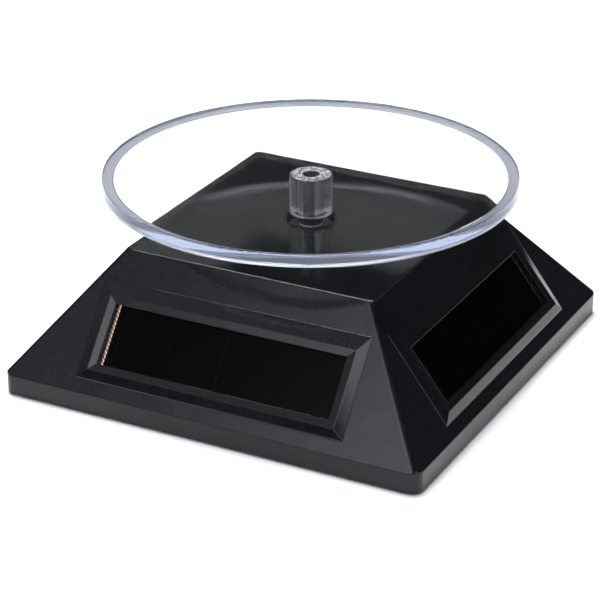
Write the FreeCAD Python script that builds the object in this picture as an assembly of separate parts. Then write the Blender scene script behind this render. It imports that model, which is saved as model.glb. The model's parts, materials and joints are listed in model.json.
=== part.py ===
"""Solar rotating display stand: a clear disc on a square pyramid base with four solar cells.

Millimetres. +Z is up, the origin is under the middle of the base, on the surface it stands on.
-Y is the front, +X the right-hand side. Each file in parts/ is one sub-part.
"""
import FreeCAD
import Part

import math
import os

V = FreeCAD.Vector
UP = V(0, 0, 1)
ALONG_X = V(1, 0, 0)
ALONG_Y = V(0, 1, 0)

# ---- driving dimensions of the housing
BASE_SIDE = 102.0
TOP_SIDE = 60.9
FOOT_PROUD = 0.5
SKIRT_HEIGHT = 4.5
SLOPE_RISE = 26.7
WALL = 2.0
PAST = 1.0  # how far a cut runs past the face it opens
SKIRT_CORNER_R = 2.6
RIDGE_R = 1.9
EDGE_R = 0.5
TOP_EDGE_R = 0.7

SKIRT_TOP = FOOT_PROUD + SKIRT_HEIGHT
TOP_FACE = SKIRT_TOP + SLOPE_RISE
TOP_UNDERSIDE = TOP_FACE - WALL
SLOPE_RUN = (BASE_SIDE - TOP_SIDE) / 2
SLOPE_DEG = math.degrees(math.atan2(SLOPE_RISE, SLOPE_RUN))
WALL_ACROSS = WALL / math.sin(math.radians(SLOPE_DEG))

# ---- window frames: heights above the slope, distances up the slope from the skirt
FRAME_HALF = 32.7
FRAME_LOW, FRAME_HIGH = 3.15, 26.0
FRAME_STEP = 0.3
FRAME_ROOT = 1.6
RIDGE_HALF = 30.2
RIDGE_LOW, RIDGE_HIGH = 5.35, 22.7
RIDGE_LOW_PROUD, RIDGE_HIGH_PROUD = 0.95, 0.6
RIM_STRIP = 1.75
RIM_DROP = 0.25
WINDOW_DEPTH = 1.3
RIM_TILT = math.degrees(math.atan2(RIDGE_HIGH_PROUD - RIDGE_LOW_PROUD, RIDGE_HIGH - RIDGE_LOW))
RIM_LENGTH = math.hypot(RIDGE_HIGH_PROUD - RIDGE_LOW_PROUD, RIDGE_HIGH - RIDGE_LOW)

# ---- solar cells, measured in the plane of the window frame's rim
CELL_LENGTH, CELL_WIDTH, CELL_GLASS = 60.0, 17.8, 1.1
CELL_SHIFT = 0.9
CELL_PLAY = 0.25
BUS_WIDTH, BUS_GROOVE, BUS_INSET = 0.75, 0.15, 1.15
BUS_END = 1.0
BEAD_LENGTH, BEAD_WIDTH, BEAD_HEIGHT = 8.0, 2.4, 1.0

# ---- clear disc, the hub tube under it and the glue between them
DISC_R = 46.85
DISC_THICK = 2.8
DISC_TOP = 45.0
DISC_EDGE_R = 0.35
DISC_BOTTOM = DISC_TOP - DISC_THICK
RIM_RING_PROUD = 0.25  # the low ring under the disc's rim
RIM_RING_WIDTH = 2.4
BOND_THICK = 0.1
BOND_R, BOND_BORE_R = 4.6, 2.1
HUB_R = 4.85
HUB_TOP = DISC_BOTTOM - BOND_THICK
HUB_FOOT_R = 0.35
HUB_GAP = 1.35
HUB_BOTTOM = TOP_FACE + HUB_GAP
BORE_R = 1.8
BORE_FLAT = 1.35

# ---- spindle and its bearing
SPINDLE_HOLE_R = 5.3
SPINDLE_LIP_R = 0.9
TURRET_R = 4.9
TURRET_TOP = TOP_FACE - 1.5
SPINDLE_R = 1.5
SHOULDER_R = 2.6
DRIVE_R = 1.75
DRIVE_FLAT = 1.3
DRIVE_TOP = DISC_BOTTOM - 0.35
FIT = 0.05
TIP_CHAMFER = 0.3
BUSH_R = 2.5
WASHER_THICK = 0.3

# ---- gear train: three equal reductions
MODULE = 0.45
WHEEL_TEETH, PINION_TEETH = 42, 12
ADDENDUM, DEDENDUM = 0.8 * MODULE, 1.2 * MODULE
BACKLASH = 0.08
PRESSURE_DEG = 20.0
CENTRES = MODULE * (WHEEL_TEETH + PINION_TEETH) / 2
FACE_WIDTH, FACE_GAP = 2.0, 0.7
WEB_SUNK = 0.5
RIM_WIDTH, BOSS_WIDTH = 2.0, 2.0
PINION_OVER = 0.2
SECOND_DEG, FIRST_DEG, MOTOR_DEG = 180.0, -75.0, -15.0

# ---- gearbox case
CASE_BOTTOM, CASE_FLOOR, CASE_WALL = 14.4, 1.6, 1.4
CASE_TOP = 25.2
COVER_THICK = 1.6
CASE_X = (-25.5, 14.0)
CASE_Y = (-25.5, 13.5)
CASE_CORNER_R, CASE_INNER_R = 2.5, 1.1
COLUMN_R = 2.4
SCREW_R, SCREW_HEAD_R, SCREW_HEAD = 1.0, 1.9, 1.2
SCREW_PLAY = 0.1
SCREW_TIP = TOP_UNDERSIDE + WALL / 4
AXLE_R = 0.75
BLIND_SKIN = 0.6
GEAR_HUB_R = 1.5
END_PLAY = 0.1

# ---- motor
MOTOR_R, MOTOR_SKIN = 12.0, 0.6
MOTOR_BOTTOM, MOTOR_CAP = 3.9, 1.5
MOTOR_SHAFT_R = 1.0
MOTOR_BUSH_R, MOTOR_BUSH_LENGTH = 2.4, 2.2
MOTOR_BUSH_PROUD = 1.0
MOTOR_HOLE_R = 2.6
SHAFT_UP = 0.5
MOTOR_SCREW_AT, MOTOR_SCREW_R, MOTOR_SCREW_HEAD_R, MOTOR_SCREW_HEAD = 7.6, 0.8, 1.5, 0.9
CAP_SPIGOT, CAP_DISH = 0.6, 0.3
MAGNET_R, MAGNET_EDGE_Y = 9.3, 4.5
MAGNET_LOW, MAGNET_HIGH = MOTOR_BOTTOM + MOTOR_CAP + 1.0, CASE_BOTTOM - 1.5
ARMATURE_R, SHOE_THICK = 8.4, 1.4
CORE_R, POLE_WIDTH = 2.6, 3.0
CORE_LOW, CORE_HIGH = MOTOR_BOTTOM + 4.2, CASE_BOTTOM - 2.2
COIL_IN, COIL_OUT, COIL_HALF, COIL_OVER, COIL_ROUND = 3.9, 6.2, 2.9, 0.6, 0.6
COMMUTATOR_R = 1.7
COMMUTATOR_LOW, COMMUTATOR_HIGH = MOTOR_BOTTOM + MOTOR_CAP + 0.3, MOTOR_BOTTOM + MOTOR_CAP + 2.0
BRUSH_THICK, BRUSH_GAP = 0.32, 0.08

# ---- base plate, battery bay and door
PLATE_BOTTOM, PLATE_THICK = 0.9, 2.0
PLATE_TOP = PLATE_BOTTOM + PLATE_THICK
PLATE_PLAY = 0.3
PLATE_CORNER_R = 1.6
BAY_Y = 27.5
BAY_HALF_LENGTH, BAY_HALF_WIDTH = 26.9, 7.7
BAY_WALL = 1.2
BAY_ROOF = 17.9
DOOR_LEDGE = 1.5
DOOR_THICK = 1.3
DOOR_HINGE_X = BAY_HALF_LENGTH + 2.6
DOOR_HINGE_R = 0.7
DOOR_GAP = 0.3
DOOR_RISE = 0.05
RIBS, RIB_PITCH, RIB_DEPTH = 5, 1.6, 0.4
NOTCH_R, NOTCH_DEPTH = 5.0, 0.9
CONTACT_THICK = 0.4
CONTACT_LOW, CONTACT_HIGH = PLATE_TOP + 2.0, BAY_ROOF - 2.0
CONTACT_NEAR, CONTACT_FAR = 6.6, 5.0
TAIL_LOW, TAIL_HIGH, TAIL_OUT = PLATE_TOP + 3.0, PLATE_TOP + 5.0, 1.6
BUTTON_R, BUTTON_PROUD = 2.5, 0.5
LEAF_HALF, LEAF_BOW, LEAF_WIDTH, LEAF_CLEAR = 3.6, 1.85, 5.0, 0.2

# ---- fixings
BOSS_X, BOSS_Y, BOSS_R, BOSS_TOP = 41.0, 29.0, 3.2, 12.0
PLATE_SCREW_R, PLATE_SCREW_HEAD_R, PLATE_SCREW_HEAD = 1.2, 2.3, 1.1
FOOT_AT, FOOT_R, FOOT_SINK, FOOT_EDGE_R = 41.0, 4.5, 0.5, 0.3

# ---- circuit board and switch
BOARD_X, BOARD_Y = 25.0, -34.0
BOARD_LENGTH, BOARD_WIDTH, BOARD_THICK = 24.0, 13.0, 1.2
BOARD_BOTTOM = 6.4
POST_X, POST_R = 9.6, 2.0
BOARD_SCREW_R, BOARD_SCREW_HEAD_R, BOARD_SCREW_HEAD, BOARD_SCREW_LENGTH = 0.8, 1.8, 1.2, 3.8
SWITCH_LENGTH, SWITCH_WIDTH, SWITCH_SLOT = 8.6, 4.4, 5.2
KNOB_LENGTH, KNOB_WIDTH, KNOB_TRAVEL = 3.0, 1.6, 2.0
KNOB_BOTTOM = 1.3
KNOB_TOP = PLATE_TOP + 1.9
KNOB_CLEAR, KNOB_GROOVE = 0.8, 0.4
DISH_HALF_X, DISH_HALF_Y, DISH_R, DISH_DEPTH = 6.0, 4.0, 2.0, 0.9
CAPACITOR_R, CAPACITOR_HEIGHT = 2.5, 6.5
DIODE_R, DIODE_LENGTH, DIODE_LEAD_R, DIODE_SPAN, DIODE_UP = 1.3, 4.2, 0.3, 6.2, 1.9

# ---- leads
WIRE_R = 0.45
WIRE_BEND = 3.0
SOLDER_X, SOLDER_LOW, SOLDER_HIGH = 26.0, 3.0, 15.8


# ---------------------------------------------------------------- helpers
def cylinder(r, z0, z1, x=0.0, y=0.0):
    return Part.makeCylinder(r, z1 - z0, V(x, y, z0))


def ring(r_out, r_in, z0, z1, x=0.0, y=0.0):
    return cylinder(r_out, z0, z1, x, y).cut(cylinder(r_in, z0 - PAST, z1 + PAST, x, y))


def box(x0, x1, y0, y1, z0, z1):
    return Part.makeBox(x1 - x0, y1 - y0, z1 - z0, V(x0, y0, z0))


def centred_box(x, y, length, width, z0, z1):
    return box(x - length / 2, x + length / 2, y - width / 2, y + width / 2, z0, z1)


def vertical_edges(shape):
    """The straight edges that run along Z."""
    found = []
    for edge in shape.Edges:
        a, b = edge.Vertexes[0].Point, edge.Vertexes[-1].Point
        if abs(a.x - b.x) + abs(a.y - b.y) < 1e-6 < abs(a.z - b.z):
            found.append(edge)
    return found


def edges_between(shape, z0, z1):
    """The edges that lie wholly between two heights."""
    return [e for e in shape.Edges if e.BoundBox.ZMin > z0 - 1e-4 and e.BoundBox.ZMax < z1 + 1e-4]


def rounded_box(x0, x1, y0, y1, z0, z1, r):
    solid = box(x0, x1, y0, y1, z0, z1)
    return solid.makeFillet(r, vertical_edges(solid))


def polygon(points):
    return Part.makePolygon([V(*p) for p in points] + [V(*points[0])])


def prism(points, direction):
    return Part.Face(polygon(points)).extrude(direction)


def rectangle(half, low, high, n_low, n_high=None):
    """Corners of a rectangle across a slope: x, distance up the slope, height above it."""
    n_high = n_low if n_high is None else n_high
    return [(-half, low, n_low), (half, low, n_low), (half, high, n_high), (-half, high, n_high)]


def loft(lower, upper):
    return Part.makeLoft([polygon(lower), polygon(upper)], True, True)


def turned(shape, degrees, centre=V(0, 0, 0), axis=UP):
    copy = shape.copy()
    copy.rotate(centre, axis, degrees)
    return copy


def around_base(shape):
    """The same feature on the front, right, back and left."""
    return [turned(shape, 90 * side) for side in range(4)]


def half_width(z):
    """Half of the housing's outer width at height z on the slope."""
    return BASE_SIDE / 2 - (z - SKIRT_TOP) * SLOPE_RUN / SLOPE_RISE


def pyramid(z0, z1, inset):
    """Four sloping sides parallel to the housing's, set in by inset, from z0 to z1."""
    low, high = half_width(z0) - inset, half_width(z1) - inset
    wedge = Part.makeWedge(-low, z0, -low, -high, -high, low, z1, low, high, high)
    return turned(wedge, 90, axis=ALONG_X)


def ridge_edges(shape, z0, z1):
    """The sloping corner edges of a pyramid between two heights."""
    return [e for e in shape.Edges
            if abs(e.BoundBox.ZMin - z0) < 1e-6 and abs(e.BoundBox.ZMax - z1) < 1e-6]


def on_slope(shape):
    """From slope coordinates (x, up the slope, off the slope) to the front face."""
    copy = shape.copy()
    copy.Placement = FreeCAD.Placement(
        V(0, -BASE_SIDE / 2, SKIRT_TOP), FreeCAD.Rotation(ALONG_X, SLOPE_DEG)).multiply(copy.Placement)
    return copy


def on_rim(shape):
    """From rim coordinates (x, up the rim, off the rim) to slope coordinates."""
    copy = shape.copy()
    copy.Placement = FreeCAD.Placement(
        V(0, RIDGE_LOW, RIDGE_LOW_PROUD), FreeCAD.Rotation(ALONG_X, RIM_TILT)).multiply(copy.Placement)
    return copy


# ---------------------------------------------------------------- housing
def window_frame():
    """The raised frame round a window: a low upright step, a bevel up to a ridge, and a rim."""
    up = math.sin(math.radians(SLOPE_DEG))
    off = math.cos(math.radians(SLOPE_DEG))
    foot = rectangle(FRAME_HALF, FRAME_LOW - up * FRAME_ROOT, FRAME_HIGH - up * FRAME_ROOT,
                     -off * FRAME_ROOT)
    step = rectangle(FRAME_HALF, FRAME_LOW + up * FRAME_STEP, FRAME_HIGH + up * FRAME_STEP,
                     off * FRAME_STEP)
    ridge = rectangle(RIDGE_HALF, RIDGE_LOW, RIDGE_HIGH, RIDGE_LOW_PROUD, RIDGE_HIGH_PROUD)
    return on_slope(loft(foot, step).fuse(loft(step, ridge)))


def window_cut():
    """The rim's inward slope, the window opening and the cell's pocket behind it."""
    half, low, high = RIDGE_HALF - RIM_STRIP, RIM_STRIP, RIM_LENGTH - RIM_STRIP
    funnel = loft(rectangle(RIDGE_HALF, 0, RIM_LENGTH, 0), rectangle(half, low, high, -RIM_DROP))
    opening = box(-half, half, low, high, -WINDOW_DEPTH - PAST, -RIM_DROP / 2)
    reach = CELL_LENGTH / 2 + CELL_SHIFT + CELL_PLAY
    middle, across = RIM_LENGTH / 2, CELL_WIDTH / 2 + CELL_PLAY
    pocket = box(-reach, reach, middle - across, middle + across, -4 * WALL, -WINDOW_DEPTH - RIM_DROP)
    return on_slope(on_rim(funnel.fuse(opening).fuse(pocket)))


def housing_outside():
    """The skirt and the pyramid with rounded corners, before the frames are added."""
    sloped = pyramid(0, TOP_FACE, 0)
    sloped = sloped.makeFillet(RIDGE_R, ridge_edges(sloped, 0, TOP_FACE))
    sloped = sloped.makeFillet(TOP_EDGE_R, edges_between(sloped, TOP_FACE, TOP_FACE))
    h = BASE_SIDE / 2
    skirt = rounded_box(-h, h, -h, h, FOOT_PROUD, TOP_FACE + PAST, SKIRT_CORNER_R)
    solid = sloped.common(skirt).Solids[0]
    return solid.makeFillet(EDGE_R, edges_between(solid, SKIRT_TOP, SKIRT_TOP + PAST))


def housing_inside():
    sloped = pyramid(-PAST, TOP_UNDERSIDE, WALL_ACROSS)
    h = BASE_SIDE / 2 - WALL
    return sloped.common(rounded_box(-h, h, -h, h, -PAST, TOP_UNDERSIDE + PAST, PLATE_CORNER_R))


def gearbox_fixings():
    inset = COLUMN_R + SCREW_PLAY
    return [(x, y) for x in (CASE_X[0] + inset, CASE_X[1] - inset)
            for y in (CASE_Y[0] + inset, CASE_Y[1] - inset)]


def base_fixings():
    return [(x, y) for x in (-BOSS_X, BOSS_X) for y in (-BOSS_Y, BOSS_Y)]


def upper_housing():
    solid = housing_outside()
    for frame in around_base(window_frame()):
        solid = solid.fuse(frame)
    solid = solid.cut(housing_inside())
    for x, y in base_fixings():
        solid = solid.fuse(cylinder(BOSS_R, PLATE_TOP, BOSS_TOP, x, y))
    for x, y in gearbox_fixings():
        solid = solid.fuse(cylinder(COLUMN_R, CASE_TOP + COVER_THICK, TOP_UNDERSIDE + WALL / 4, x, y))
    for cut in around_base(window_cut()):
        solid = solid.cut(cut)
    for x, y in base_fixings():
        solid = solid.cut(cylinder(PLATE_SCREW_R, PLATE_TOP - PAST, BOSS_TOP - WALL, x, y))
    for x, y in gearbox_fixings():
        solid = solid.cut(cylinder(SCREW_R, CASE_TOP, SCREW_TIP + SCREW_PLAY, x, y))
    solid = solid.cut(cylinder(SPINDLE_HOLE_R, TOP_UNDERSIDE - PAST, TOP_FACE + PAST))
    lip = [e for e in solid.Edges if e.BoundBox.ZMin > TOP_FACE - 1e-4
           and abs(e.BoundBox.XLength - 2 * SPINDLE_HOLE_R) < 1e-3]
    return solid.makeFillet(SPINDLE_LIP_R, lip).removeSplitter()


# ---------------------------------------------------------------- solar cells
def cell_middle(flipped):
    """A cell sits a little to one side, so that one of its two bus strips shows in the window."""
    return -CELL_SHIFT if flipped else CELL_SHIFT


def bus_places(flipped):
    x = cell_middle(flipped)
    reach = CELL_LENGTH / 2 - BUS_INSET
    return [x - reach, x + reach]


def cell_box(x0, x1, y0, y1, z0, z1):
    """A box on the cell's glass: z is below the glass face."""
    face = -WINDOW_DEPTH - RIM_DROP
    return on_slope(on_rim(box(x0, x1, y0, y1, face + z0, face + z1)))


def bus_strips(flipped):
    low = RIM_LENGTH / 2 - CELL_WIDTH / 2 + BUS_END
    high = RIM_LENGTH / 2 + CELL_WIDTH / 2 - BUS_END
    half = BUS_WIDTH / 2
    return [cell_box(x - half, x + half, low, high, -BUS_GROOVE, 0) for x in bus_places(flipped)]


def solar_cell(flipped):
    x = cell_middle(flipped)
    middle = RIM_LENGTH / 2
    glass = cell_box(x - CELL_LENGTH / 2, x + CELL_LENGTH / 2,
                     middle - CELL_WIDTH / 2, middle + CELL_WIDTH / 2, -CELL_GLASS, 0)
    for strip in bus_strips(flipped):
        glass = glass.cut(strip)
    return glass


def glue_beads(flipped):
    """Two beads of hot-melt that hold a cell in its pocket from behind."""
    x = cell_middle(flipped)
    middle = RIM_LENGTH / 2
    beads = []
    for end in (-1, 1):
        at = x + end * (CELL_LENGTH / 2 - BEAD_WIDTH)
        bead = cell_box(at - BEAD_WIDTH / 2, at + BEAD_WIDTH / 2, middle - BEAD_LENGTH / 2,
                        middle + BEAD_LENGTH / 2, -CELL_GLASS - BEAD_HEIGHT, -CELL_GLASS)
        beads.append(bead)
    return beads


# ---------------------------------------------------------------- gears
def involute_angle(r, base_r):
    """How far an involute that starts on base_r has turned by the time it reaches r."""
    if r <= base_r:
        return 0.0
    t = math.sqrt((r / base_r) ** 2 - 1)
    return t - math.atan(t)


def gear(teeth, z0, z1, phase_deg, bore_r):
    """A spur gear about Z with a tooth centred on phase_deg."""
    pitch_r = MODULE * teeth / 2
    base_r = pitch_r * math.cos(math.radians(PRESSURE_DEG))
    tip_r = pitch_r + ADDENDUM
    root_r = pitch_r - DEDENDUM
    half_at_pitch = (math.pi * MODULE / 2 - BACKLASH) / 2 / pitch_r
    half_at_base = half_at_pitch + involute_angle(pitch_r, base_r)
    start_r = max(base_r, root_r)
    radii = [start_r, (start_r + pitch_r) / 2, pitch_r, (pitch_r + tip_r) / 2, tip_r]
    flank = [(r, half_at_base - involute_angle(r, base_r)) for r in radii]
    if root_r < base_r:
        flank.insert(0, (root_r, half_at_base))
    outline = []
    for i in range(teeth):
        centre = math.radians(phase_deg) + 2 * math.pi * i / teeth
        for r, a in flank:
            outline.append((r * math.cos(centre - a), r * math.sin(centre - a), z0))
        for r, a in reversed(flank):
            outline.append((r * math.cos(centre + a), r * math.sin(centre + a), z0))
    solid = prism(outline, V(0, 0, z1 - z0))
    return solid.cut(cylinder(bore_r, z0 - PAST, z1 + PAST)) if bore_r else solid


def layer(number):
    """Bottom and top of gear layer 0, 1 or 2, counted up from the case floor."""
    z0 = CASE_BOTTOM + CASE_FLOOR + FACE_GAP + number * (FACE_WIDTH + FACE_GAP)
    return z0, z0 + FACE_WIDTH


def step_from(place, degrees):
    a = math.radians(degrees)
    return place[0] + CENTRES * math.cos(a), place[1] + CENTRES * math.sin(a)


SPINDLE_AT = (0.0, 0.0)
SECOND_AT = step_from(SPINDLE_AT, SECOND_DEG)
FIRST_AT = step_from(SECOND_AT, FIRST_DEG)
MOTOR_AT = step_from(FIRST_AT, MOTOR_DEG)


def meshing_phase(towards_deg):
    """Tooth angle of a pinion whose gap faces a wheel's tooth, seen from the pinion."""
    return towards_deg + 180 + 180 / PINION_TEETH


def at(shape, place):
    copy = shape.copy()
    copy.translate(V(place[0], place[1], 0))
    return copy


def lightened(wheel, z0, z1):
    """A wheel with its web thinned from both faces."""
    rim_r = MODULE * WHEEL_TEETH / 2 - RIM_WIDTH
    hub_r = GEAR_HUB_R + BOSS_WIDTH
    for low, high in ((z0 - PAST, z0 + WEB_SUNK), (z1 - WEB_SUNK, z1 + PAST)):
        wheel = wheel.cut(ring(rim_r, hub_r, low, high))
    return wheel


def compound_gear(number, wheel_phase, pinion_phase):
    """A wheel in one layer with a pinion in the layer above, and hubs that fill the case's height."""
    wheel_z = layer(number)
    pinion_z = layer(number + 1)
    floor = CASE_BOTTOM + CASE_FLOOR + END_PLAY
    bore_r = AXLE_R + FIT
    solid = lightened(gear(WHEEL_TEETH, *wheel_z, wheel_phase, 0), *wheel_z)
    solid = solid.fuse(gear(PINION_TEETH, wheel_z[1], pinion_z[1] + PINION_OVER, pinion_phase, 0))
    solid = solid.fuse(cylinder(GEAR_HUB_R, floor, CASE_TOP - END_PLAY))
    return solid.cut(cylinder(bore_r, floor - PAST, CASE_TOP + PAST))


def first_gear():
    solid = compound_gear(0, MOTOR_DEG, meshing_phase(FIRST_DEG))
    return at(solid, FIRST_AT)


def second_gear():
    solid = compound_gear(1, FIRST_DEG, meshing_phase(SECOND_DEG))
    return at(solid, SECOND_AT)


def output_gear():
    z0, z1 = layer(2)
    solid = lightened(gear(WHEEL_TEETH, z0, z1, SECOND_DEG, 0), z0, z1)
    solid = solid.fuse(cylinder(GEAR_HUB_R + BOSS_WIDTH, z0, CASE_TOP - 2 * END_PLAY))
    return solid.cut(cylinder(SPINDLE_R, z0 - PAST, CASE_TOP + PAST))


def motor_pinion():
    z0, z1 = layer(0)
    low, high = z0 - PINION_OVER, z1 + PINION_OVER
    return at(gear(PINION_TEETH, low, high, meshing_phase(MOTOR_DEG), MOTOR_SHAFT_R), MOTOR_AT)


def axle(place):
    """A plain steel pin held in the case floor and the cover."""
    return cylinder(AXLE_R, CASE_BOTTOM + BLIND_SKIN, CASE_TOP + COVER_THICK - BLIND_SKIN, *place)


# ---------------------------------------------------------------- spindle and disc
def d_section(r, flat, z0, z1):
    """A round bar with one flat on its +X side."""
    return cylinder(r, z0, z1).cut(box(flat, r + PAST, -r - PAST, r + PAST, z0 - PAST, z1 + PAST))


def drive_spindle():
    solid = cylinder(SPINDLE_R, CASE_BOTTOM + BLIND_SKIN, HUB_BOTTOM)
    shoulder = cylinder(SHOULDER_R, TURRET_TOP + WASHER_THICK + 2 * FIT, HUB_BOTTOM)
    solid = solid.fuse(shoulder.makeChamfer(TIP_CHAMFER, [shoulder.Edges[0]]))
    drive = d_section(DRIVE_R, DRIVE_FLAT, HUB_BOTTOM - PAST / 2, DRIVE_TOP)
    tip = [e for e in drive.Edges if e.BoundBox.ZMin > DRIVE_TOP - 1e-6]
    return solid.fuse(drive.makeChamfer(TIP_CHAMFER, tip)).removeSplitter()


def thrust_washer():
    z0 = TURRET_TOP + FIT / 2
    return ring(SHOULDER_R, SPINDLE_R + FIT, z0, z0 + WASHER_THICK)


def spindle_bush():
    return ring(BUSH_R, SPINDLE_R + FIT / 2, CASE_TOP, TURRET_TOP)


def turntable_disc():
    """Clear plate with a low ring under its rim."""
    low = DISC_BOTTOM - RIM_RING_PROUD
    plate = cylinder(DISC_R, low, DISC_TOP)
    plate = plate.makeFillet(DISC_EDGE_R, [e for e in plate.Edges if e.BoundBox.ZLength < 1e-6])
    recess_r = DISC_R - RIM_RING_WIDTH
    return plate.cut(Part.makeCone(recess_r, recess_r - RIM_RING_PROUD, RIM_RING_PROUD, V(0, 0, low)))


def hub_tube():
    """Clear tube that the disc stands on, with a D-shaped bore for the spindle."""
    hub = cylinder(HUB_R, HUB_BOTTOM, HUB_TOP)
    foot = [e for e in hub.Edges if e.BoundBox.ZMax < HUB_BOTTOM + 1e-6]
    hub = hub.makeFillet(HUB_FOOT_R, foot)
    return hub.cut(d_section(BORE_R, BORE_FLAT, HUB_BOTTOM - PAST, HUB_TOP + PAST))


def hub_bond():
    """Thin ring of set glue between the tube and the disc."""
    return ring(BOND_R, BOND_BORE_R, HUB_TOP, DISC_BOTTOM)


# ---------------------------------------------------------------- gearbox case
def case_outline(z0, z1):
    return rounded_box(*CASE_X, *CASE_Y, z0, z1, CASE_CORNER_R)


def motor_fixings():
    return [(MOTOR_AT[0] + side * MOTOR_SCREW_AT, MOTOR_AT[1]) for side in (-1, 1)]


def gearbox_case():
    solid = case_outline(CASE_BOTTOM, CASE_TOP)
    inside = rounded_box(CASE_X[0] + CASE_WALL, CASE_X[1] - CASE_WALL, CASE_Y[0] + CASE_WALL,
                         CASE_Y[1] - CASE_WALL, CASE_BOTTOM + CASE_FLOOR, CASE_TOP + PAST, CASE_INNER_R)
    for x, y in gearbox_fixings():
        inside = inside.cut(cylinder(COLUMN_R, CASE_BOTTOM, CASE_TOP + 2 * PAST, x, y))
    solid = solid.cut(inside)
    for x, y in gearbox_fixings():
        solid = solid.cut(cylinder(SCREW_R + SCREW_PLAY, CASE_BOTTOM - PAST, CASE_TOP + PAST, x, y))
        solid = solid.cut(cylinder(SCREW_HEAD_R + SCREW_PLAY, CASE_BOTTOM - PAST,
                                   CASE_BOTTOM + SCREW_HEAD, x, y))
    for place, r in ((FIRST_AT, AXLE_R), (SECOND_AT, AXLE_R), (SPINDLE_AT, SPINDLE_R + FIT)):
        solid = solid.cut(cylinder(r, CASE_BOTTOM + BLIND_SKIN, CASE_TOP, *place))
    solid = solid.cut(cylinder(MOTOR_HOLE_R, CASE_BOTTOM - PAST, CASE_TOP, *MOTOR_AT))
    seat = CASE_BOTTOM + CASE_FLOOR - MOTOR_SCREW_HEAD - SCREW_PLAY
    for place in motor_fixings():
        solid = solid.cut(cylinder(MOTOR_SCREW_R + SCREW_PLAY, CASE_BOTTOM - PAST, CASE_TOP, *place))
        solid = solid.cut(cylinder(MOTOR_SCREW_HEAD_R + SCREW_PLAY, seat, CASE_TOP, *place))
    return solid


def gearbox_cover():
    z0, z1 = CASE_TOP, CASE_TOP + COVER_THICK
    solid = case_outline(z0, z1).fuse(cylinder(TURRET_R, z0, TURRET_TOP))
    solid = solid.cut(cylinder(BUSH_R, z0 - PAST, TURRET_TOP + PAST))
    for x, y in gearbox_fixings():
        solid = solid.cut(cylinder(SCREW_R + SCREW_PLAY, z0 - PAST, z1 + PAST, x, y))
    for place in (FIRST_AT, SECOND_AT):
        solid = solid.cut(cylinder(AXLE_R, z0 - PAST, z1 - BLIND_SKIN, *place))
    return solid


def pan_screw(x, y, z_seat, length, r, head_r, head):
    """A pan-head screw that points up, with its head below z_seat and a cross recess."""
    head_solid = cylinder(head_r, z_seat - head, z_seat, x, y)
    lower = [e for e in head_solid.Edges if e.BoundBox.ZMax < z_seat - head + 1e-6]
    head_solid = head_solid.makeFillet(head * 0.4, lower)
    solid = head_solid.fuse(cylinder(r, z_seat, z_seat + length, x, y))
    for turn in (0, 90):
        slot = centred_box(x, y, head_r * 1.3, head_r * 0.3, z_seat - head - PAST, z_seat - head / 2)
        solid = solid.cut(turned(slot, turn, V(x, y, 0)))
    return solid


def gearbox_screws():
    seat = CASE_BOTTOM + SCREW_HEAD
    return [pan_screw(x, y, seat, SCREW_TIP - seat, SCREW_R, SCREW_HEAD_R, SCREW_HEAD)
            for x, y in gearbox_fixings()]


# ---------------------------------------------------------------- motor
def motor_can():
    x, y = MOTOR_AT
    z0 = MOTOR_BOTTOM + MOTOR_CAP
    solid = cylinder(MOTOR_R, z0, CASE_BOTTOM, x, y)
    edge_r = MOTOR_SKIN + 0.2
    solid = solid.makeFillet(edge_r, [e for e in solid.Edges if e.BoundBox.ZMin > CASE_BOTTOM - 1e-6])
    solid = solid.cut(cylinder(MOTOR_R - MOTOR_SKIN, z0 - PAST, CASE_BOTTOM - MOTOR_SKIN, x, y))
    solid = solid.cut(cylinder(MOTOR_BUSH_R, z0, CASE_BOTTOM + PAST, x, y))
    for place in motor_fixings():
        solid = solid.cut(cylinder(MOTOR_SCREW_R, CORE_HIGH, CASE_BOTTOM + PAST, *place))
    return solid


def motor_end_cap():
    x, y = MOTOR_AT
    z1 = MOTOR_BOTTOM + MOTOR_CAP
    solid = cylinder(MOTOR_R, MOTOR_BOTTOM, z1, x, y)
    solid = solid.fuse(cylinder(MOTOR_R - MOTOR_SKIN - FIT, z1, z1 + CAP_SPIGOT, x, y))
    solid = solid.cut(cylinder(MAGNET_R - MOTOR_SKIN, z1 - CAP_DISH, z1 + PAST, x, y))
    return solid.cut(cylinder(MOTOR_SHAFT_R + FIT, MOTOR_BOTTOM + SHAFT_UP - END_PLAY, z1 + PAST, x, y))


def motor_bush():
    z1 = CASE_BOTTOM + MOTOR_BUSH_PROUD
    return ring(MOTOR_BUSH_R, MOTOR_SHAFT_R + FIT, z1 - MOTOR_BUSH_LENGTH, z1, *MOTOR_AT)


def motor_magnets():
    x, y = MOTOR_AT
    shell = ring(MOTOR_R - MOTOR_SKIN - FIT, MAGNET_R, MAGNET_LOW, MAGNET_HIGH, x, y)
    side = box(x - MOTOR_R, x + MOTOR_R, y + MAGNET_EDGE_Y, y + MOTOR_R, MAGNET_LOW, MAGNET_HIGH)
    return [shell.common(side), shell.common(turned(side, 180, V(x, y, 0)))]


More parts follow.
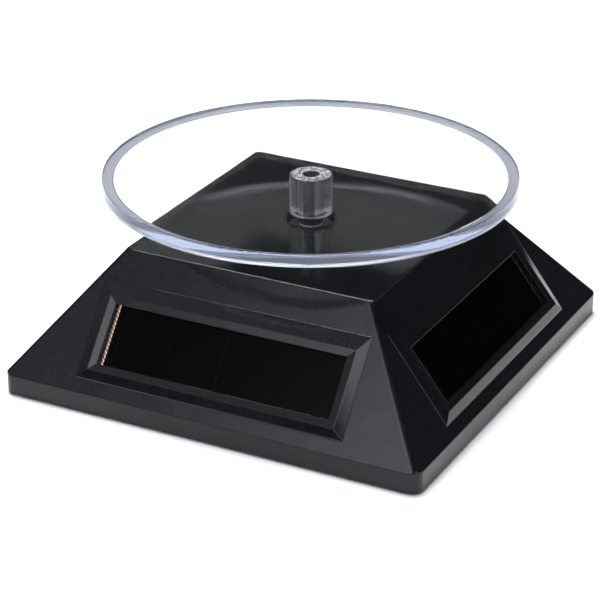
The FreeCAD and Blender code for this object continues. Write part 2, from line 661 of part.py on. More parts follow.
def armature_core():
    """A three-pole laminated core."""
    height = CORE_HIGH - CORE_LOW
    shoe_in = ARMATURE_R - SHOE_THICK
    half = POLE_WIDTH / 2
    solid = cylinder(CORE_R, CORE_LOW, CORE_HIGH)
    for pole in range(3):
        neck = box(0, shoe_in + SHOE_THICK / 2, -half, half, CORE_LOW, CORE_HIGH)
        wedge = prism([(0, 0, CORE_LOW), (MOTOR_R, -MOTOR_R, CORE_LOW), (MOTOR_R, MOTOR_R, CORE_LOW)],
                      V(0, 0, height))
        shoe = ring(ARMATURE_R, shoe_in, CORE_LOW, CORE_HIGH).common(wedge)
        solid = solid.fuse(turned(neck.fuse(shoe), 120 * pole + 90))
    solid = solid.cut(cylinder(MOTOR_SHAFT_R, CORE_LOW - PAST, CORE_HIGH + PAST))
    return at(solid.removeSplitter(), MOTOR_AT)


def armature_windings():
    half = POLE_WIDTH / 2
    coils = []
    for pole in range(3):
        coil = box(COIL_IN, COIL_OUT, -COIL_HALF, COIL_HALF, CORE_LOW - COIL_OVER, CORE_HIGH + COIL_OVER)
        long_edges = [e for e in coil.Edges if e.BoundBox.XLength > COIL_ROUND]
        coil = coil.makeFillet(COIL_ROUND, long_edges)
        coil = coil.cut(box(0, ARMATURE_R, -half, half, CORE_LOW, CORE_HIGH))
        coils.append(at(turned(coil, 120 * pole + 90), MOTOR_AT))
    return coils


def commutator():
    return ring(COMMUTATOR_R, MOTOR_SHAFT_R, COMMUTATOR_LOW, COMMUTATOR_HIGH, *MOTOR_AT)


def motor_brushes():
    """Two spring blades beside the commutator, each on a stem that stands in the end cap."""
    x, y = MOTOR_AT
    inner = COMMUTATOR_R + BRUSH_GAP
    outer = inner + BRUSH_THICK
    floor, top = MOTOR_BOTTOM + MOTOR_CAP - CAP_DISH, COMMUTATOR_HIGH - CAP_DISH
    blade = box(inner, outer, -POLE_WIDTH, COMMUTATOR_R / 2, COMMUTATOR_LOW, top)
    stem = box(inner, outer, -POLE_WIDTH - BRUSH_THICK, -POLE_WIDTH + BRUSH_THICK, floor, top)
    brush = at(blade.fuse(stem), MOTOR_AT)
    return [brush, turned(brush, 180, V(x, y, 0))]


def motor_shaft():
    return cylinder(MOTOR_SHAFT_R, MOTOR_BOTTOM + SHAFT_UP, layer(0)[1] + 2 * PINION_OVER, *MOTOR_AT)


def motor_screws():
    top = CASE_BOTTOM + CASE_FLOOR
    seat = top - MOTOR_SCREW_HEAD
    screws = []
    for x, y in motor_fixings():
        head = cylinder(MOTOR_SCREW_HEAD_R, seat, top, x, y)
        screw = head.fuse(cylinder(MOTOR_SCREW_R, CASE_BOTTOM - 2 * MOTOR_SKIN, seat, x, y))
        slot = centred_box(x, y, 1.5 * MOTOR_SCREW_HEAD_R, 0.5 * MOTOR_SCREW_R,
                           top - MOTOR_SCREW_HEAD / 2, top + PAST)
        screws.append(screw.cut(slot))
    return screws


# ---------------------------------------------------------------- base plate and battery bay
def door_edges():
    """The door's recess in the plate: x from and to, y from and to."""
    reach = BAY_HALF_WIDTH + DOOR_LEDGE
    return -BAY_HALF_LENGTH - 2 * DOOR_LEDGE, DOOR_HINGE_X, BAY_Y - reach, BAY_Y + reach


def base_plate():
    h = BASE_SIDE / 2 - WALL - PLATE_PLAY
    solid = rounded_box(-h, h, -h, h, PLATE_BOTTOM, PLATE_TOP, PLATE_CORNER_R)
    out_x, out_y = BAY_HALF_LENGTH + BAY_WALL, BAY_HALF_WIDTH + BAY_WALL
    solid = solid.fuse(box(-out_x, out_x, BAY_Y - out_y, BAY_Y + out_y, PLATE_TOP, BAY_ROOF + BAY_WALL))
    solid = solid.cut(box(-BAY_HALF_LENGTH, BAY_HALF_LENGTH, BAY_Y - BAY_HALF_WIDTH,
                          BAY_Y + BAY_HALF_WIDTH, PLATE_BOTTOM - PAST, BAY_ROOF))
    for side in (-1, 1):
        solid = solid.cut(contact_tail(side * (BAY_HALF_LENGTH - PAST), side * (out_x + PAST)))
    x0, x1, y0, y1 = door_edges()
    top = PLATE_BOTTOM + DOOR_THICK + DOOR_GAP
    solid = solid.cut(box(x0, x1, y0, y1, PLATE_BOTTOM - PAST, top))
    axis_z = PLATE_BOTTOM + DOOR_RISE + DOOR_THICK / 2
    groove = Part.makeCylinder(DOOR_HINGE_R + FIT, y1 - y0, V(x1, y0, axis_z), ALONG_Y)
    solid = solid.cut(groove)
    solid = solid.cut(box(x1, x1 + DOOR_HINGE_R + FIT, y0, y1, PLATE_BOTTOM - PAST, axis_z))
    notch = cylinder(NOTCH_R, PLATE_BOTTOM - PAST, PLATE_BOTTOM + NOTCH_DEPTH, x0, BAY_Y)
    solid = solid.cut(notch.common(box(x0 - 2 * DOOR_LEDGE, x0 + PAST, y0, y1, 0, PLATE_TOP)))
    for x, y in base_fixings():
        solid = solid.cut(cylinder(PLATE_SCREW_R + 2 * SCREW_PLAY, 0, PLATE_TOP + PAST, x, y))
        solid = solid.cut(cylinder(PLATE_SCREW_HEAD_R + 2 * SCREW_PLAY, 0,
                                   PLATE_BOTTOM + PLATE_SCREW_HEAD, x, y))
    for x, y in foot_places():
        solid = solid.cut(cylinder(FOOT_R + SCREW_PLAY, 0, PLATE_BOTTOM + FOOT_SINK, x, y))
    for x in board_fixings():
        solid = solid.fuse(cylinder(POST_R, PLATE_TOP, BOARD_BOTTOM, x, BOARD_Y))
        solid = solid.cut(cylinder(BOARD_SCREW_R, PLATE_TOP, BOARD_BOTTOM + PAST, x, BOARD_Y))
    return solid.cut(knob_slot()).cut(knob_dish())


def knob_slot():
    """The slot in the plate that the switch's lever comes down through."""
    return centred_box(BOARD_X, BOARD_Y, SWITCH_SLOT + KNOB_CLEAR, KNOB_WIDTH + KNOB_CLEAR,
                       0, PLATE_TOP + PAST)


def knob_dish():
    """A shallow finger recess round the slot."""
    return rounded_box(BOARD_X - DISH_HALF_X, BOARD_X + DISH_HALF_X, BOARD_Y - DISH_HALF_Y,
                       BOARD_Y + DISH_HALF_Y, 0, PLATE_BOTTOM + DISH_DEPTH, DISH_R)


def foot_places():
    return [(x, y) for x in (-FOOT_AT, FOOT_AT) for y in (-FOOT_AT, FOOT_AT)]


def rubber_feet():
    feet = []
    for x, y in foot_places():
        foot = cylinder(FOOT_R, 0, PLATE_BOTTOM + FOOT_SINK, x, y)
        feet.append(foot.makeFillet(FOOT_EDGE_R, [e for e in foot.Edges if e.BoundBox.ZMax < 1e-6]))
    return feet


def base_screws():
    seat = PLATE_BOTTOM + PLATE_SCREW_HEAD
    length = BOSS_TOP - WALL - 0.5 - seat
    return [pan_screw(x, y, seat, length, PLATE_SCREW_R, PLATE_SCREW_HEAD_R, PLATE_SCREW_HEAD)
            for x, y in base_fixings()]


def battery_door():
    """A flat door with a rounded hinge edge that rolls in the plate's groove, and grip ribs."""
    x0, x1, y0, y1 = door_edges()
    z0 = PLATE_BOTTOM + DOOR_RISE
    z1 = z0 + DOOR_THICK
    start = V(x1, y0 + DOOR_GAP, (z0 + z1) / 2)
    solid = box(x0 + DOOR_GAP, x1, y0 + DOOR_GAP, y1 - DOOR_GAP, z0, z1)
    solid = solid.fuse(Part.makeCylinder(DOOR_THICK / 2, y1 - y0 - 2 * DOOR_GAP, start, ALONG_Y))
    for i in range(RIBS):
        x = x0 + NOTCH_R + RIB_PITCH * i
        solid = solid.cut(box(x, x + RIB_PITCH / 2, BAY_Y - NOTCH_R, BAY_Y + NOTCH_R, 0, z0 + RIB_DEPTH))
    return solid.removeSplitter()


def contact_back(side):
    """The flat of a contact against the bay's end wall, with a tail through the wall to solder to."""
    x = side * BAY_HALF_LENGTH
    tip = side * (BAY_HALF_LENGTH + BAY_WALL + TAIL_OUT)
    inner = x - side * CONTACT_THICK
    flat = box(min(x, inner), max(x, inner), BAY_Y - CONTACT_NEAR, BAY_Y + CONTACT_FAR,
               CONTACT_LOW, CONTACT_HIGH)
    return flat.fuse(contact_tail(inner, tip))


def contact_tail(x0, x1):
    y0 = BAY_Y - CONTACT_NEAR
    return box(min(x0, x1), max(x0, x1), y0, y0 + CONTACT_THICK, TAIL_LOW, TAIL_HIGH)


def contact_plate():
    """The flat contact at the cell's plus end, with a raised button."""
    x = BAY_HALF_LENGTH - CONTACT_THICK
    middle = (CONTACT_LOW + CONTACT_HIGH) / 2
    button = Part.makeCylinder(BUTTON_R, BUTTON_PROUD, V(x - BUTTON_PROUD, BAY_Y, middle), ALONG_X)
    return contact_back(1).fuse(button)


def contact_spring():
    """The bowed leaf contact at the cell's minus end, pressed in as far as a cell presses it."""
    x = LEAF_CLEAR - BAY_HALF_LENGTH
    middle = (CONTACT_LOW + CONTACT_HIGH) / 2
    start, end = V(x, 0, middle - LEAF_HALF), V(x, 0, middle + LEAF_HALF)
    crest = V(LEAF_BOW - BAY_HALF_LENGTH, 0, middle)
    outer = Part.Arc(start, crest, end).toShape()
    shift = V(CONTACT_THICK, 0, 0)
    inner = Part.Arc(end + shift, crest + shift, start + shift).toShape()
    wire = Part.Wire([outer, Part.makeLine(end, end + shift), inner, Part.makeLine(start + shift, start)])
    leaf = Part.Face(wire).extrude(V(0, LEAF_WIDTH, 0))
    leaf.translate(V(0, BAY_Y - LEAF_WIDTH / 2, 0))
    return contact_back(-1).fuse(leaf)


# ---------------------------------------------------------------- circuit board and switch
def board_fixings():
    return [BOARD_X - POST_X, BOARD_X + POST_X]


def circuit_board():
    z1 = BOARD_BOTTOM + BOARD_THICK
    solid = centred_box(BOARD_X, BOARD_Y, BOARD_LENGTH, BOARD_WIDTH, BOARD_BOTTOM, z1)
    for x in board_fixings():
        hole = cylinder(BOARD_SCREW_R + 2 * SCREW_PLAY, BOARD_BOTTOM - PAST, z1 + PAST, x, BOARD_Y)
        solid = solid.cut(hole)
    return solid


def board_screws():
    seat = BOARD_BOTTOM + BOARD_THICK
    screws = []
    for x in board_fixings():
        screw = pan_screw(x, BOARD_Y, seat, BOARD_SCREW_LENGTH, BOARD_SCREW_R, BOARD_SCREW_HEAD_R,
                          BOARD_SCREW_HEAD)
        screws.append(turned(screw, 180, V(x, BOARD_Y, seat), ALONG_X))
    return screws


def switch_body():
    solid = centred_box(BOARD_X, BOARD_Y, SWITCH_LENGTH, SWITCH_WIDTH, PLATE_TOP + SCREW_PLAY, BOARD_BOTTOM)
    slot = centred_box(BOARD_X, BOARD_Y, SWITCH_SLOT, KNOB_WIDTH + 2 * SCREW_PLAY,
                       PLATE_TOP - PAST, KNOB_TOP + SCREW_PLAY)
    return solid.cut(slot)


def switch_knob():
    """The sliding lever, at rest in its off place, with two grip grooves across its tip."""
    x = BOARD_X - KNOB_TRAVEL / 2
    solid = centred_box(x, BOARD_Y, KNOB_LENGTH, KNOB_WIDTH, KNOB_BOTTOM, KNOB_TOP)
    for side in (-1, 1):
        groove = centred_box(x + side * KNOB_LENGTH / 4, BOARD_Y, KNOB_GROOVE, KNOB_WIDTH + PAST,
                             0, KNOB_BOTTOM + KNOB_GROOVE)
        solid = solid.cut(groove)
    return solid


def capacitor():
    z0 = BOARD_BOTTOM + BOARD_THICK
    z1 = z0 + CAPACITOR_HEIGHT
    solid = cylinder(CAPACITOR_R, z0, z1, BOARD_X + 3.5, BOARD_Y + 2.5)
    return solid.makeFillet(EDGE_R, [e for e in solid.Edges if e.BoundBox.ZMin > z1 - 1e-4])


def diode():
    """An axial diode standing off the board on its two bent leads."""
    z0 = BOARD_BOTTOM + BOARD_THICK
    x, y, z = BOARD_X - 4.0, BOARD_Y + 2.8, z0 + DIODE_UP
    half = DIODE_SPAN / 2
    body_start = V(x - DIODE_LENGTH / 2, y, z)
    solid = Part.makeCylinder(DIODE_R, DIODE_LENGTH, body_start, ALONG_X)
    wire_start = V(x - half - DIODE_LEAD_R, y, z)
    solid = solid.fuse(Part.makeCylinder(DIODE_LEAD_R, DIODE_SPAN + 2 * DIODE_LEAD_R, wire_start, ALONG_X))
    for side in (-1, 1):
        solid = solid.fuse(cylinder(DIODE_LEAD_R, z0, z + DIODE_LEAD_R, x + side * half, y))
    return solid


# ---------------------------------------------------------------- leads
def lead(points):
    """An insulated wire along straight runs joined by tangent arcs."""
    points = [V(*p) for p in points]
    edges = []
    start = points[0]
    for before, corner, after in zip(points, points[1:], points[2:]):
        into, out = corner - before, after - corner
        shorter = min(into.Length, out.Length)
        into.normalize()
        out.normalize()
        half_turn = into.getAngle(out) / 2
        radius = min(WIRE_BEND, 0.45 * shorter / math.tan(half_turn))
        cut = radius * math.tan(half_turn)
        first, last = corner - into * cut, corner + out * cut
        inward = out - into
        inward.normalize()
        middle = corner + inward * (radius / math.cos(half_turn) - radius)
        edges += [Part.makeLine(start, first), Part.Arc(first, middle, last).toShape()]
        start = last
    edges.append(Part.makeLine(start, points[-1]))
    section = Part.Wire(Part.makeCircle(WIRE_R, points[0], points[1] - points[0]))
    return Part.Wire(edges).makePipeShell([section], True, False)


def solder_point(x, side, up=SOLDER_LOW, behind=2.4):
    """Where a lead meets the back of the cell on a side, and a point straight behind it."""
    face = -WINDOW_DEPTH - RIM_DROP - CELL_GLASS
    found = []
    for depth in (0, behind):
        mark = on_slope(on_rim(Part.Vertex(x, up, face - depth)))
        found.append(tuple(turned(mark, 90 * side).Point))
    return found


def corner_leads():
    """One lead at each corner joins the ends of the two cells that meet there."""
    leads = []
    for side in range(4):
        start, behind_start = solder_point(SOLDER_X + 1.5, side, SOLDER_HIGH, 1.0)
        end, behind_end = solder_point(-SOLDER_X - 1.5, (side + 1) % 4, SOLDER_HIGH, 1.0)
        leads.append(lead([start, behind_start, behind_end, end]))
    return leads


def board_leads():
    """Four leads from the board to the cells, low down round the inside of the skirt."""
    under = BOARD_BOTTOM
    low = PLATE_TOP + 2.2
    front_right = solder_point(SOLDER_X - 3, 0)
    front_left = solder_point(-SOLDER_X + 3, 0)
    right_back = solder_point(SOLDER_X - 3, 1)
    left_back = solder_point(-SOLDER_X + 3, 3)
    return [
        lead([*front_right, (front_right[1][0], -41.6, low), (front_right[1][0], -38.6, low),
              (front_right[1][0], -38.6, under)]),
        lead([*front_left, (front_left[1][0], -42.0, low), (front_left[1][0] + 5, -40.6, low),
              (12.6, -40.2, low), (17.6, -38.9, low), (17.6, -38.9, under)]),
        lead([*right_back, (42.2, right_back[1][1], low), (36.2, 17.0, low), (34.2, -24.0, low),
              (34.2, -29.2, low), (34.2, -29.2, under)]),
        lead([*left_back, (-42.2, left_back[1][1], low), (-35.6, 17.0, low), (-34.4, -27.0, low),
              (-28.0, -36.2, low), (10.0, -36.6, low), (14.6, -37.4, low), (14.6, -37.4, under)]),
    ]


def motor_leads():
    low = MOTOR_BOTTOM + MOTOR_CAP / 2
    ahead = MOTOR_R + 4
    x, y = MOTOR_AT
    leads = []
    for degrees, end_x in ((-46, 17.6), (-30, 20.6)):
        a = math.radians(degrees)
        leads.append(lead([
            (x + MOTOR_R * math.cos(a), y + MOTOR_R * math.sin(a), low),
            (x + ahead * math.cos(a), y + ahead * math.sin(a), low),
            (end_x, -29.0, low - 0.2), (end_x, -29.0, BOARD_BOTTOM)]))
    return leads


def battery_leads():
    low = PLATE_TOP + 1.0
    tail_z = (TAIL_LOW + TAIL_HIGH) / 2
    tip = BAY_HALF_LENGTH + BAY_WALL + TAIL_OUT / 2
    near = BAY_Y - CONTACT_NEAR
    return [
        lead([(tip, near, tail_z), (tip, near - 4.0, tail_z), (tip, 10.0, low), (30.4, -24.0, low),
              (31.0, -29.0, low), (31.0, -29.0, BOARD_BOTTOM)]),
        lead([(-tip, near, tail_z), (-tip, near - 4.0, tail_z), (-tip, 10.0, low), (-30.4, -22.0, low),
              (-24.0, -32.4, low), (8.0, -32.8, low), (13.0, -30.8, low + 0.4),
              (14.6, -29.0, low + 0.4), (14.6, -29.0, BOARD_BOTTOM)]),
    ]


# ---------------------------------------------------------------- output
def group(solids):
    return Part.makeCompound(solids)


def build():
    sides = {"front": 0, "right": 1, "back": 2, "left": 3}
    flips = {"front": False, "right": True, "back": False, "left": True}
    parts = {
        "upper_housing": upper_housing(),
        "base_plate": base_plate(),
        "battery_door": battery_door(),
        "rubber_feet": group(rubber_feet()),
        "base_screws": group(base_screws()),
        "turntable_disc": turntable_disc(),
        "hub_tube": hub_tube(),
        "hub_bond": hub_bond(),
        "drive_spindle": drive_spindle(),
        "thrust_washer": thrust_washer(),
        "spindle_bush": spindle_bush(),
        "output_gear": output_gear(),
        "second_gear": second_gear(),
        "first_gear": first_gear(),
        "second_gear_axle": axle(SECOND_AT),
        "first_gear_axle": axle(FIRST_AT),
        "gearbox_case": gearbox_case(),
        "gearbox_cover": gearbox_cover(),
        "gearbox_screws": group(gearbox_screws()),
        "motor_can": motor_can(),
        "motor_end_cap": motor_end_cap(),
        "motor_bush": motor_bush(),
        "motor_magnets": group(motor_magnets()),
        "motor_brushes": group(motor_brushes()),
        "motor_screws": group(motor_screws()),
        "motor_shaft": motor_shaft(),
        "motor_pinion": motor_pinion(),
        "armature_core": armature_core(),
        "armature_windings": group(armature_windings()),
        "commutator": commutator(),
        "contact_plate": contact_plate(),
        "contact_spring": contact_spring(),
        "circuit_board": circuit_board(),
        "board_screws": group(board_screws()),
        "switch_body": switch_body(),
        "switch_knob": switch_knob(),
        "capacitor": capacitor(),
        "diode": diode(),
        "corner_leads": group(corner_leads()),
        "board_leads": group(board_leads()),
        "motor_leads": group(motor_leads()),
        "battery_leads": group(battery_leads()),
    }
    strips = []
    for name, side in sides.items():
        flipped = flips[name]
        parts["solar_cell_" + name] = turned(solar_cell(flipped), 90 * side)
        strips += [turned(s, 90 * side) for s in bus_strips(flipped)]
        parts["glue_beads_" + name] = group([turned(b, 90 * side) for b in glue_beads(flipped)])
    parts["bus_strips"] = group(strips)
    return parts


os.makedirs("parts", exist_ok=True)
for node, shape in build().items():
    if not shape.isValid():
        print("not valid:", node)
    shape.exportStep(f"parts/{node}.step")
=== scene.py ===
"""Solar display turntable: materials, light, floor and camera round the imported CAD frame. Metres."""
import json
import math

import bmesh
import bpy
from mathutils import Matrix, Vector, noise

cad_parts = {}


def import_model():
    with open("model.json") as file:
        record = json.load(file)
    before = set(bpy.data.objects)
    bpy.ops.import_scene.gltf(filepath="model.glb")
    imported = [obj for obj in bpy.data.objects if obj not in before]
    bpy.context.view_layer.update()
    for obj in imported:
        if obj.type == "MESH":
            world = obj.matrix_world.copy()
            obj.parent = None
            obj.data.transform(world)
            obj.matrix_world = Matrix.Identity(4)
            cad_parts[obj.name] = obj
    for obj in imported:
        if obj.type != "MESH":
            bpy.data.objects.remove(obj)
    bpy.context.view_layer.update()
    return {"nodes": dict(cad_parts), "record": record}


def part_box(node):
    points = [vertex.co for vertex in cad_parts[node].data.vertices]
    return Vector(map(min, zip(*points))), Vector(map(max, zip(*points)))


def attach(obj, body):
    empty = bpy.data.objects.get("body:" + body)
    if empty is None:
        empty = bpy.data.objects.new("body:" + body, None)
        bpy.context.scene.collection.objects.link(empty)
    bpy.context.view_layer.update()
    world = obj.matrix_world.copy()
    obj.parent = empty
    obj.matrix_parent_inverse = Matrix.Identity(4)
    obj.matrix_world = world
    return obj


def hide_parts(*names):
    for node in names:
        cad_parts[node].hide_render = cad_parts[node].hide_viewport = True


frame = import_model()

MM = 0.001

# ------------------------------------------------------------------ the clear disc and its tube
DISC_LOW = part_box("turntable_disc")[0][2]
DISC_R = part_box("turntable_disc")[1][0]
CLEAR = (1.0, 1.0, 1.0)
RING_WIDTH, RING_PROUD = 2.4 * MM, 0.25 * MM
# grey-blue of the cloudy ring: a painted reflection of the dim surroundings seen through the rim
RING_REFLECTION_TINT = (0.45, 0.48, 0.56)
RING_CLEARNESS, RING_ROUGHNESS = 0.3, 0.3
# blue tint on the disc's outer edge: a painted reflection of the dim surroundings
EDGE_REFLECTION_TINT = (0.8, 0.87, 1.0)
EDGE_HAZE = 0.08
EDGE_FROM, EDGE_TO = 0.1 * MM, 0.05 * MM  # in from the disc's outside
# the second value is a painted sheen: the tube whitens toward its outlines at grazing angles
TUBE_HAZE, TUBE_EDGE_SHEEN = 0.075, 1.0
DEPTH_COLOUR = (0.04, 0.11, 0.34)
DEPTH_DENSITY = 11.0  # per metre of plastic

# ------------------------------------------------------------------ the glue between them
GLUE_BORE_R = 2.05 * MM
GLUE_GAP = 0.025 * MM
GLUE_RINGS, GLUE_STEPS = 10, 120
GLUE_RAGGED = 0.15 * MM
GLUE_CRINKLE = 0.012 * MM
GLUE_MIDDLE_R, GLUE_HALF, GLUE_EDGE = 3.35 * MM, 1.3 * MM, 0.15 * MM
GLUE_PATCHES, GLUE_CRINKLES, GLUE_LAYERS = 900, 1500, 100000  # per metre

# ------------------------------------------------------------------ housing and cells
EASED_EDGE = 0.22 * MM
HOUSING_GREY = 0.0035
SPECK_DARK = (0.4, 0.5, 0.6)  # times the housing's grey
SPECK_LIGHT = (2.3, 2.6, 3.1)
FOIL_CREASE = 0.9 * MM
# painted shade and painted highlight across the foil's creases
FOIL_SHADE, FOIL_HIGHLIGHT = (0.45, 0.25, 0.17), (1.0, 0.8, 0.68)
SCRIBE_PITCH, SCRIBE_SHARE = 12.9 * MM, 0.012
CELL_COLOUR, SCRIBE_COLOUR = (0.0012, 0.001, 0.0011), (0.0035, 0.003, 0.0035)

# ------------------------------------------------------------------ studio
FLOOR_HALF = 4.0
FLOOR_WHITE = (0.9, 0.9, 0.9)
WALL_LEVEL = 0.04
WALL_TINT = (0.9, 0.95, 1.0)
# azimuth, elevation and reach in degrees, then the level in the middle
WALL_PATCHES = [(-40, 52, 50, 0.6), (-10, 36, 23, 3.9), (68, 28, 14, 8.0)]
LIGHT_BOUNCES = 32  # enough for light that is trapped in the clear disc


# ------------------------------------------------------------------ node helpers
class Nodes:
    """Builds one node tree with few words."""

    def __init__(self, tree):
        self.tree = tree
        tree.nodes.clear()

    def add(self, kind, **settings):
        node = self.tree.nodes.new(kind)
        for key, value in settings.items():
            setattr(node, key, value)
        return node

    def put(self, node, name, value):
        """Sets an input, or links it when value is another node's output."""
        socket = node.inputs[name]
        if isinstance(value, bpy.types.NodeSocket):
            self.tree.links.new(value, socket)
        else:
            socket.default_value = value

    def math(self, operation, a, b=0.0):
        node = self.add("ShaderNodeMath", operation=operation)
        self.put(node, 0, a)
        self.put(node, 1, b)
        return node.outputs[0]

    def position(self, scale=(1, 1, 1)):
        where = self.add("ShaderNodeTexCoord").outputs["Object"]
        mapping = self.add("ShaderNodeMapping")
        self.put(mapping, "Vector", where)
        self.put(mapping, "Scale", scale)
        return mapping.outputs[0]

    def split(self, where):
        node = self.add("ShaderNodeSeparateXYZ")
        self.put(node, 0, where)
        return node.outputs

    def radius(self, where):
        """Distance from the turntable's axis."""
        squares = [self.math("MULTIPLY", side, side) for side in self.split(where)[:2]]
        return self.math("SQRT", self.math("ADD", *squares))

    def stripes(self, where, period):
        """Soft stripes across the diagonal of a position, from 0 to 1."""
        node = self.add("ShaderNodeTexWave", bands_direction="DIAGONAL")
        self.put(node, "Vector", where)
        self.put(node, "Scale", 2 * math.pi / (10 * period))
        return node.outputs[0]

    def noise(self, where, per_metre, detail=3.0, rough=0.55):
        node = self.add("ShaderNodeTexNoise")
        self.put(node, "Vector", where)
        self.put(node, "Scale", per_metre)
        self.put(node, "Detail", detail)
        self.put(node, "Roughness", rough)
        return node.outputs[0]

    def spread(self, value, low, high, start=0.0, end=1.0):
        """Maps value from start..end to low..high."""
        node = self.add("ShaderNodeMapRange")
        self.put(node, 0, value)
        self.put(node, 1, start)
        self.put(node, 2, end)
        self.put(node, 3, low)
        self.put(node, 4, high)
        return node.outputs[0]

    def blend(self, factor, a, b):
        node = self.add("ShaderNodeMix", data_type="RGBA")
        self.put(node, 0, factor)
        self.put(node, 6, a)
        self.put(node, 7, b)
        return node.outputs[2]

    def bump(self, height, depth, under=None):
        node = self.add("ShaderNodeBump")
        self.put(node, "Height", height)
        self.put(node, "Distance", depth)
        if under is not None:
            self.put(node, "Normal", under)
        return node.outputs[0]


def material(name):
    made = bpy.data.materials.new(name)
    made.use_nodes = True
    nodes = Nodes(made.node_tree)
    shader = nodes.add("ShaderNodeBsdfPrincipled")
    nodes.out = nodes.add("ShaderNodeOutputMaterial")
    nodes.tree.links.new(shader.outputs[0], nodes.out.inputs[0])
    return made, nodes, shader


def rgba(*levels):
    return (*levels, 1.0)


def scaled(grey, factors):
    return rgba(*(grey * factor for factor in factors))


# ------------------------------------------------------------------ materials
def gloss_black(name, grey=HOUSING_GREY, rough=0.075):
    """Polished black ABS: a faint waviness, finger haze, and specks of dust in the surface."""
    made, n, s = material(name)
    where = n.position()
    haze = n.noise(where, 60, 4)
    specks = n.spread(n.noise(where, 2200, 2, 0.7), 0.0, 1.0, 0.35, 0.65)
    n.put(s, "Base Color", n.blend(specks, scaled(grey, SPECK_DARK), scaled(grey, SPECK_LIGHT)))
    n.put(s, "Roughness", n.spread(haze, rough - 0.03, rough + 0.05, 0.3, 0.75))
    n.put(s, "IOR", 1.52)
    n.put(s, "Specular IOR Level", 0.3)
    eased = n.add("ShaderNodeBevel", samples=6)
    n.put(eased, "Radius", EASED_EDGE)
    wave = n.bump(n.noise(where, 90, 1), 0.00006, under=eased.outputs[0])
    n.put(s, "Normal", n.bump(n.noise(where, 2200, 3, 0.7), 0.000005, under=wave))
    return made


def textured(name, colour, rough, grain=1800, depth=0.00002):
    """Moulded plastic with a fine spark-eroded texture."""
    made, n, s = material(name)
    where = n.position()
    grains = n.noise(where, grain, 4, 0.7)
    broad = n.noise(where, 70, 3)
    light = tuple(min(1.0, c * 1.25 + 0.004) for c in colour)
    n.put(s, "Base Color", n.blend(broad, rgba(*colour), rgba(*light)))
    n.put(s, "Roughness", n.spread(grains, rough - 0.08, rough + 0.08, 0.3, 0.7))
    n.put(s, "Normal", n.bump(grains, depth))
    return made


def clear_plastic(name):
    """Polished clear plastic that darkens with depth.

    It is cloudy on the low ring under the rim, whose grey-blue colour is a painted reflection of the
    dim surroundings, and faintly hazy on the disc's edge, whose blue tint is a painted reflection too,
    and on the hub tube, which a painted sheen whitens toward grazing angles.
    """
    made, n, s = material(name)
    where = n.position()
    z = n.split(where)[2]
    radius = n.radius(where)
    on_edge = n.spread(radius, 0.0, 1.0, DISC_R - EDGE_FROM, DISC_R - EDGE_TO)
    on_ring = n.spread(radius, 0.0, 1.0, DISC_R - RING_WIDTH - RING_PROUD, DISC_R - RING_WIDTH)
    low = n.spread(z, 1.0, 0.0, DISC_LOW + RING_PROUD, DISC_LOW + 1.5 * RING_PROUD)
    # mask of the cloudy low ring, which also places its painted reflection colour
    cloud_and_reflection = n.math("MULTIPLY", on_ring, low)
    plain = n.blend(on_edge, rgba(*CLEAR), rgba(*EDGE_REFLECTION_TINT))
    # painted reflection: grey-blue on the cloudy ring, blue on the outer edge
    n.put(s, "Base Color", n.blend(cloud_and_reflection, plain, rgba(*RING_REFLECTION_TINT)))
    in_tube = n.math("LESS_THAN", z, DISC_LOW)
    # painted sheen: the tube turns whiter toward its outlines, and haze carries it on
    sheen = n.math("POWER", n.add("ShaderNodeLayerWeight").outputs["Facing"], 4.0)
    haze = n.math("MULTIPLY", in_tube, n.spread(sheen, TUBE_HAZE, TUBE_EDGE_SHEEN))
    haze = n.math("ADD", haze, n.math("MULTIPLY", on_edge, EDGE_HAZE))
    clearness = n.math("SUBTRACT", n.spread(cloud_and_reflection, 1.0, RING_CLEARNESS), haze)
    n.put(s, "Transmission Weight", clearness)
    n.put(s, "IOR", 1.57)
    smears = n.spread(n.noise(where, 300, 4), 0.0, 0.02, 0.4, 0.8)
    n.put(s, "Roughness", n.math("ADD", smears, n.math("MULTIPLY", cloud_and_reflection, RING_ROUGHNESS)))
    n.put(s, "Normal", n.bump(n.noise(where, 60, 1), 0.00002))
    depth = n.add("ShaderNodeVolumeAbsorption")
    n.put(depth, "Color", rgba(*DEPTH_COLOUR))
    n.put(depth, "Density", DEPTH_DENSITY)
    n.tree.links.new(depth.outputs[0], n.out.inputs["Volume"])
    return made


def clear_bond(name):
    """Clear glue, white in patches where bubbles are caught, and white along both edges of the ring as
    a painted highlight.
    """
    made, n, s = material(name)
    where = n.position()
    off_middle = n.math("ABSOLUTE", n.math("SUBTRACT", n.radius(where), GLUE_MIDDLE_R))
    # painted highlight: white along both edges of the ring
    edge = n.spread(off_middle, 0.0, 1.0, GLUE_HALF - 2 * GLUE_EDGE, GLUE_HALF - GLUE_EDGE)
    patches = n.spread(n.noise(where, GLUE_PATCHES, 2), 0.0, 1.0, 0.5, 0.58)
    # white where bubbles are caught, and the painted highlight along the edges
    air_and_highlight = n.math("MAXIMUM", edge, patches)
    n.put(s, "Base Color", n.blend(air_and_highlight, rgba(0.8, 0.82, 0.87), rgba(1.0, 1.0, 1.0)))
    n.put(s, "Roughness", 0.15)
    n.put(s, "Transmission Weight", n.spread(air_and_highlight, 0.6, 0.0))
    return made


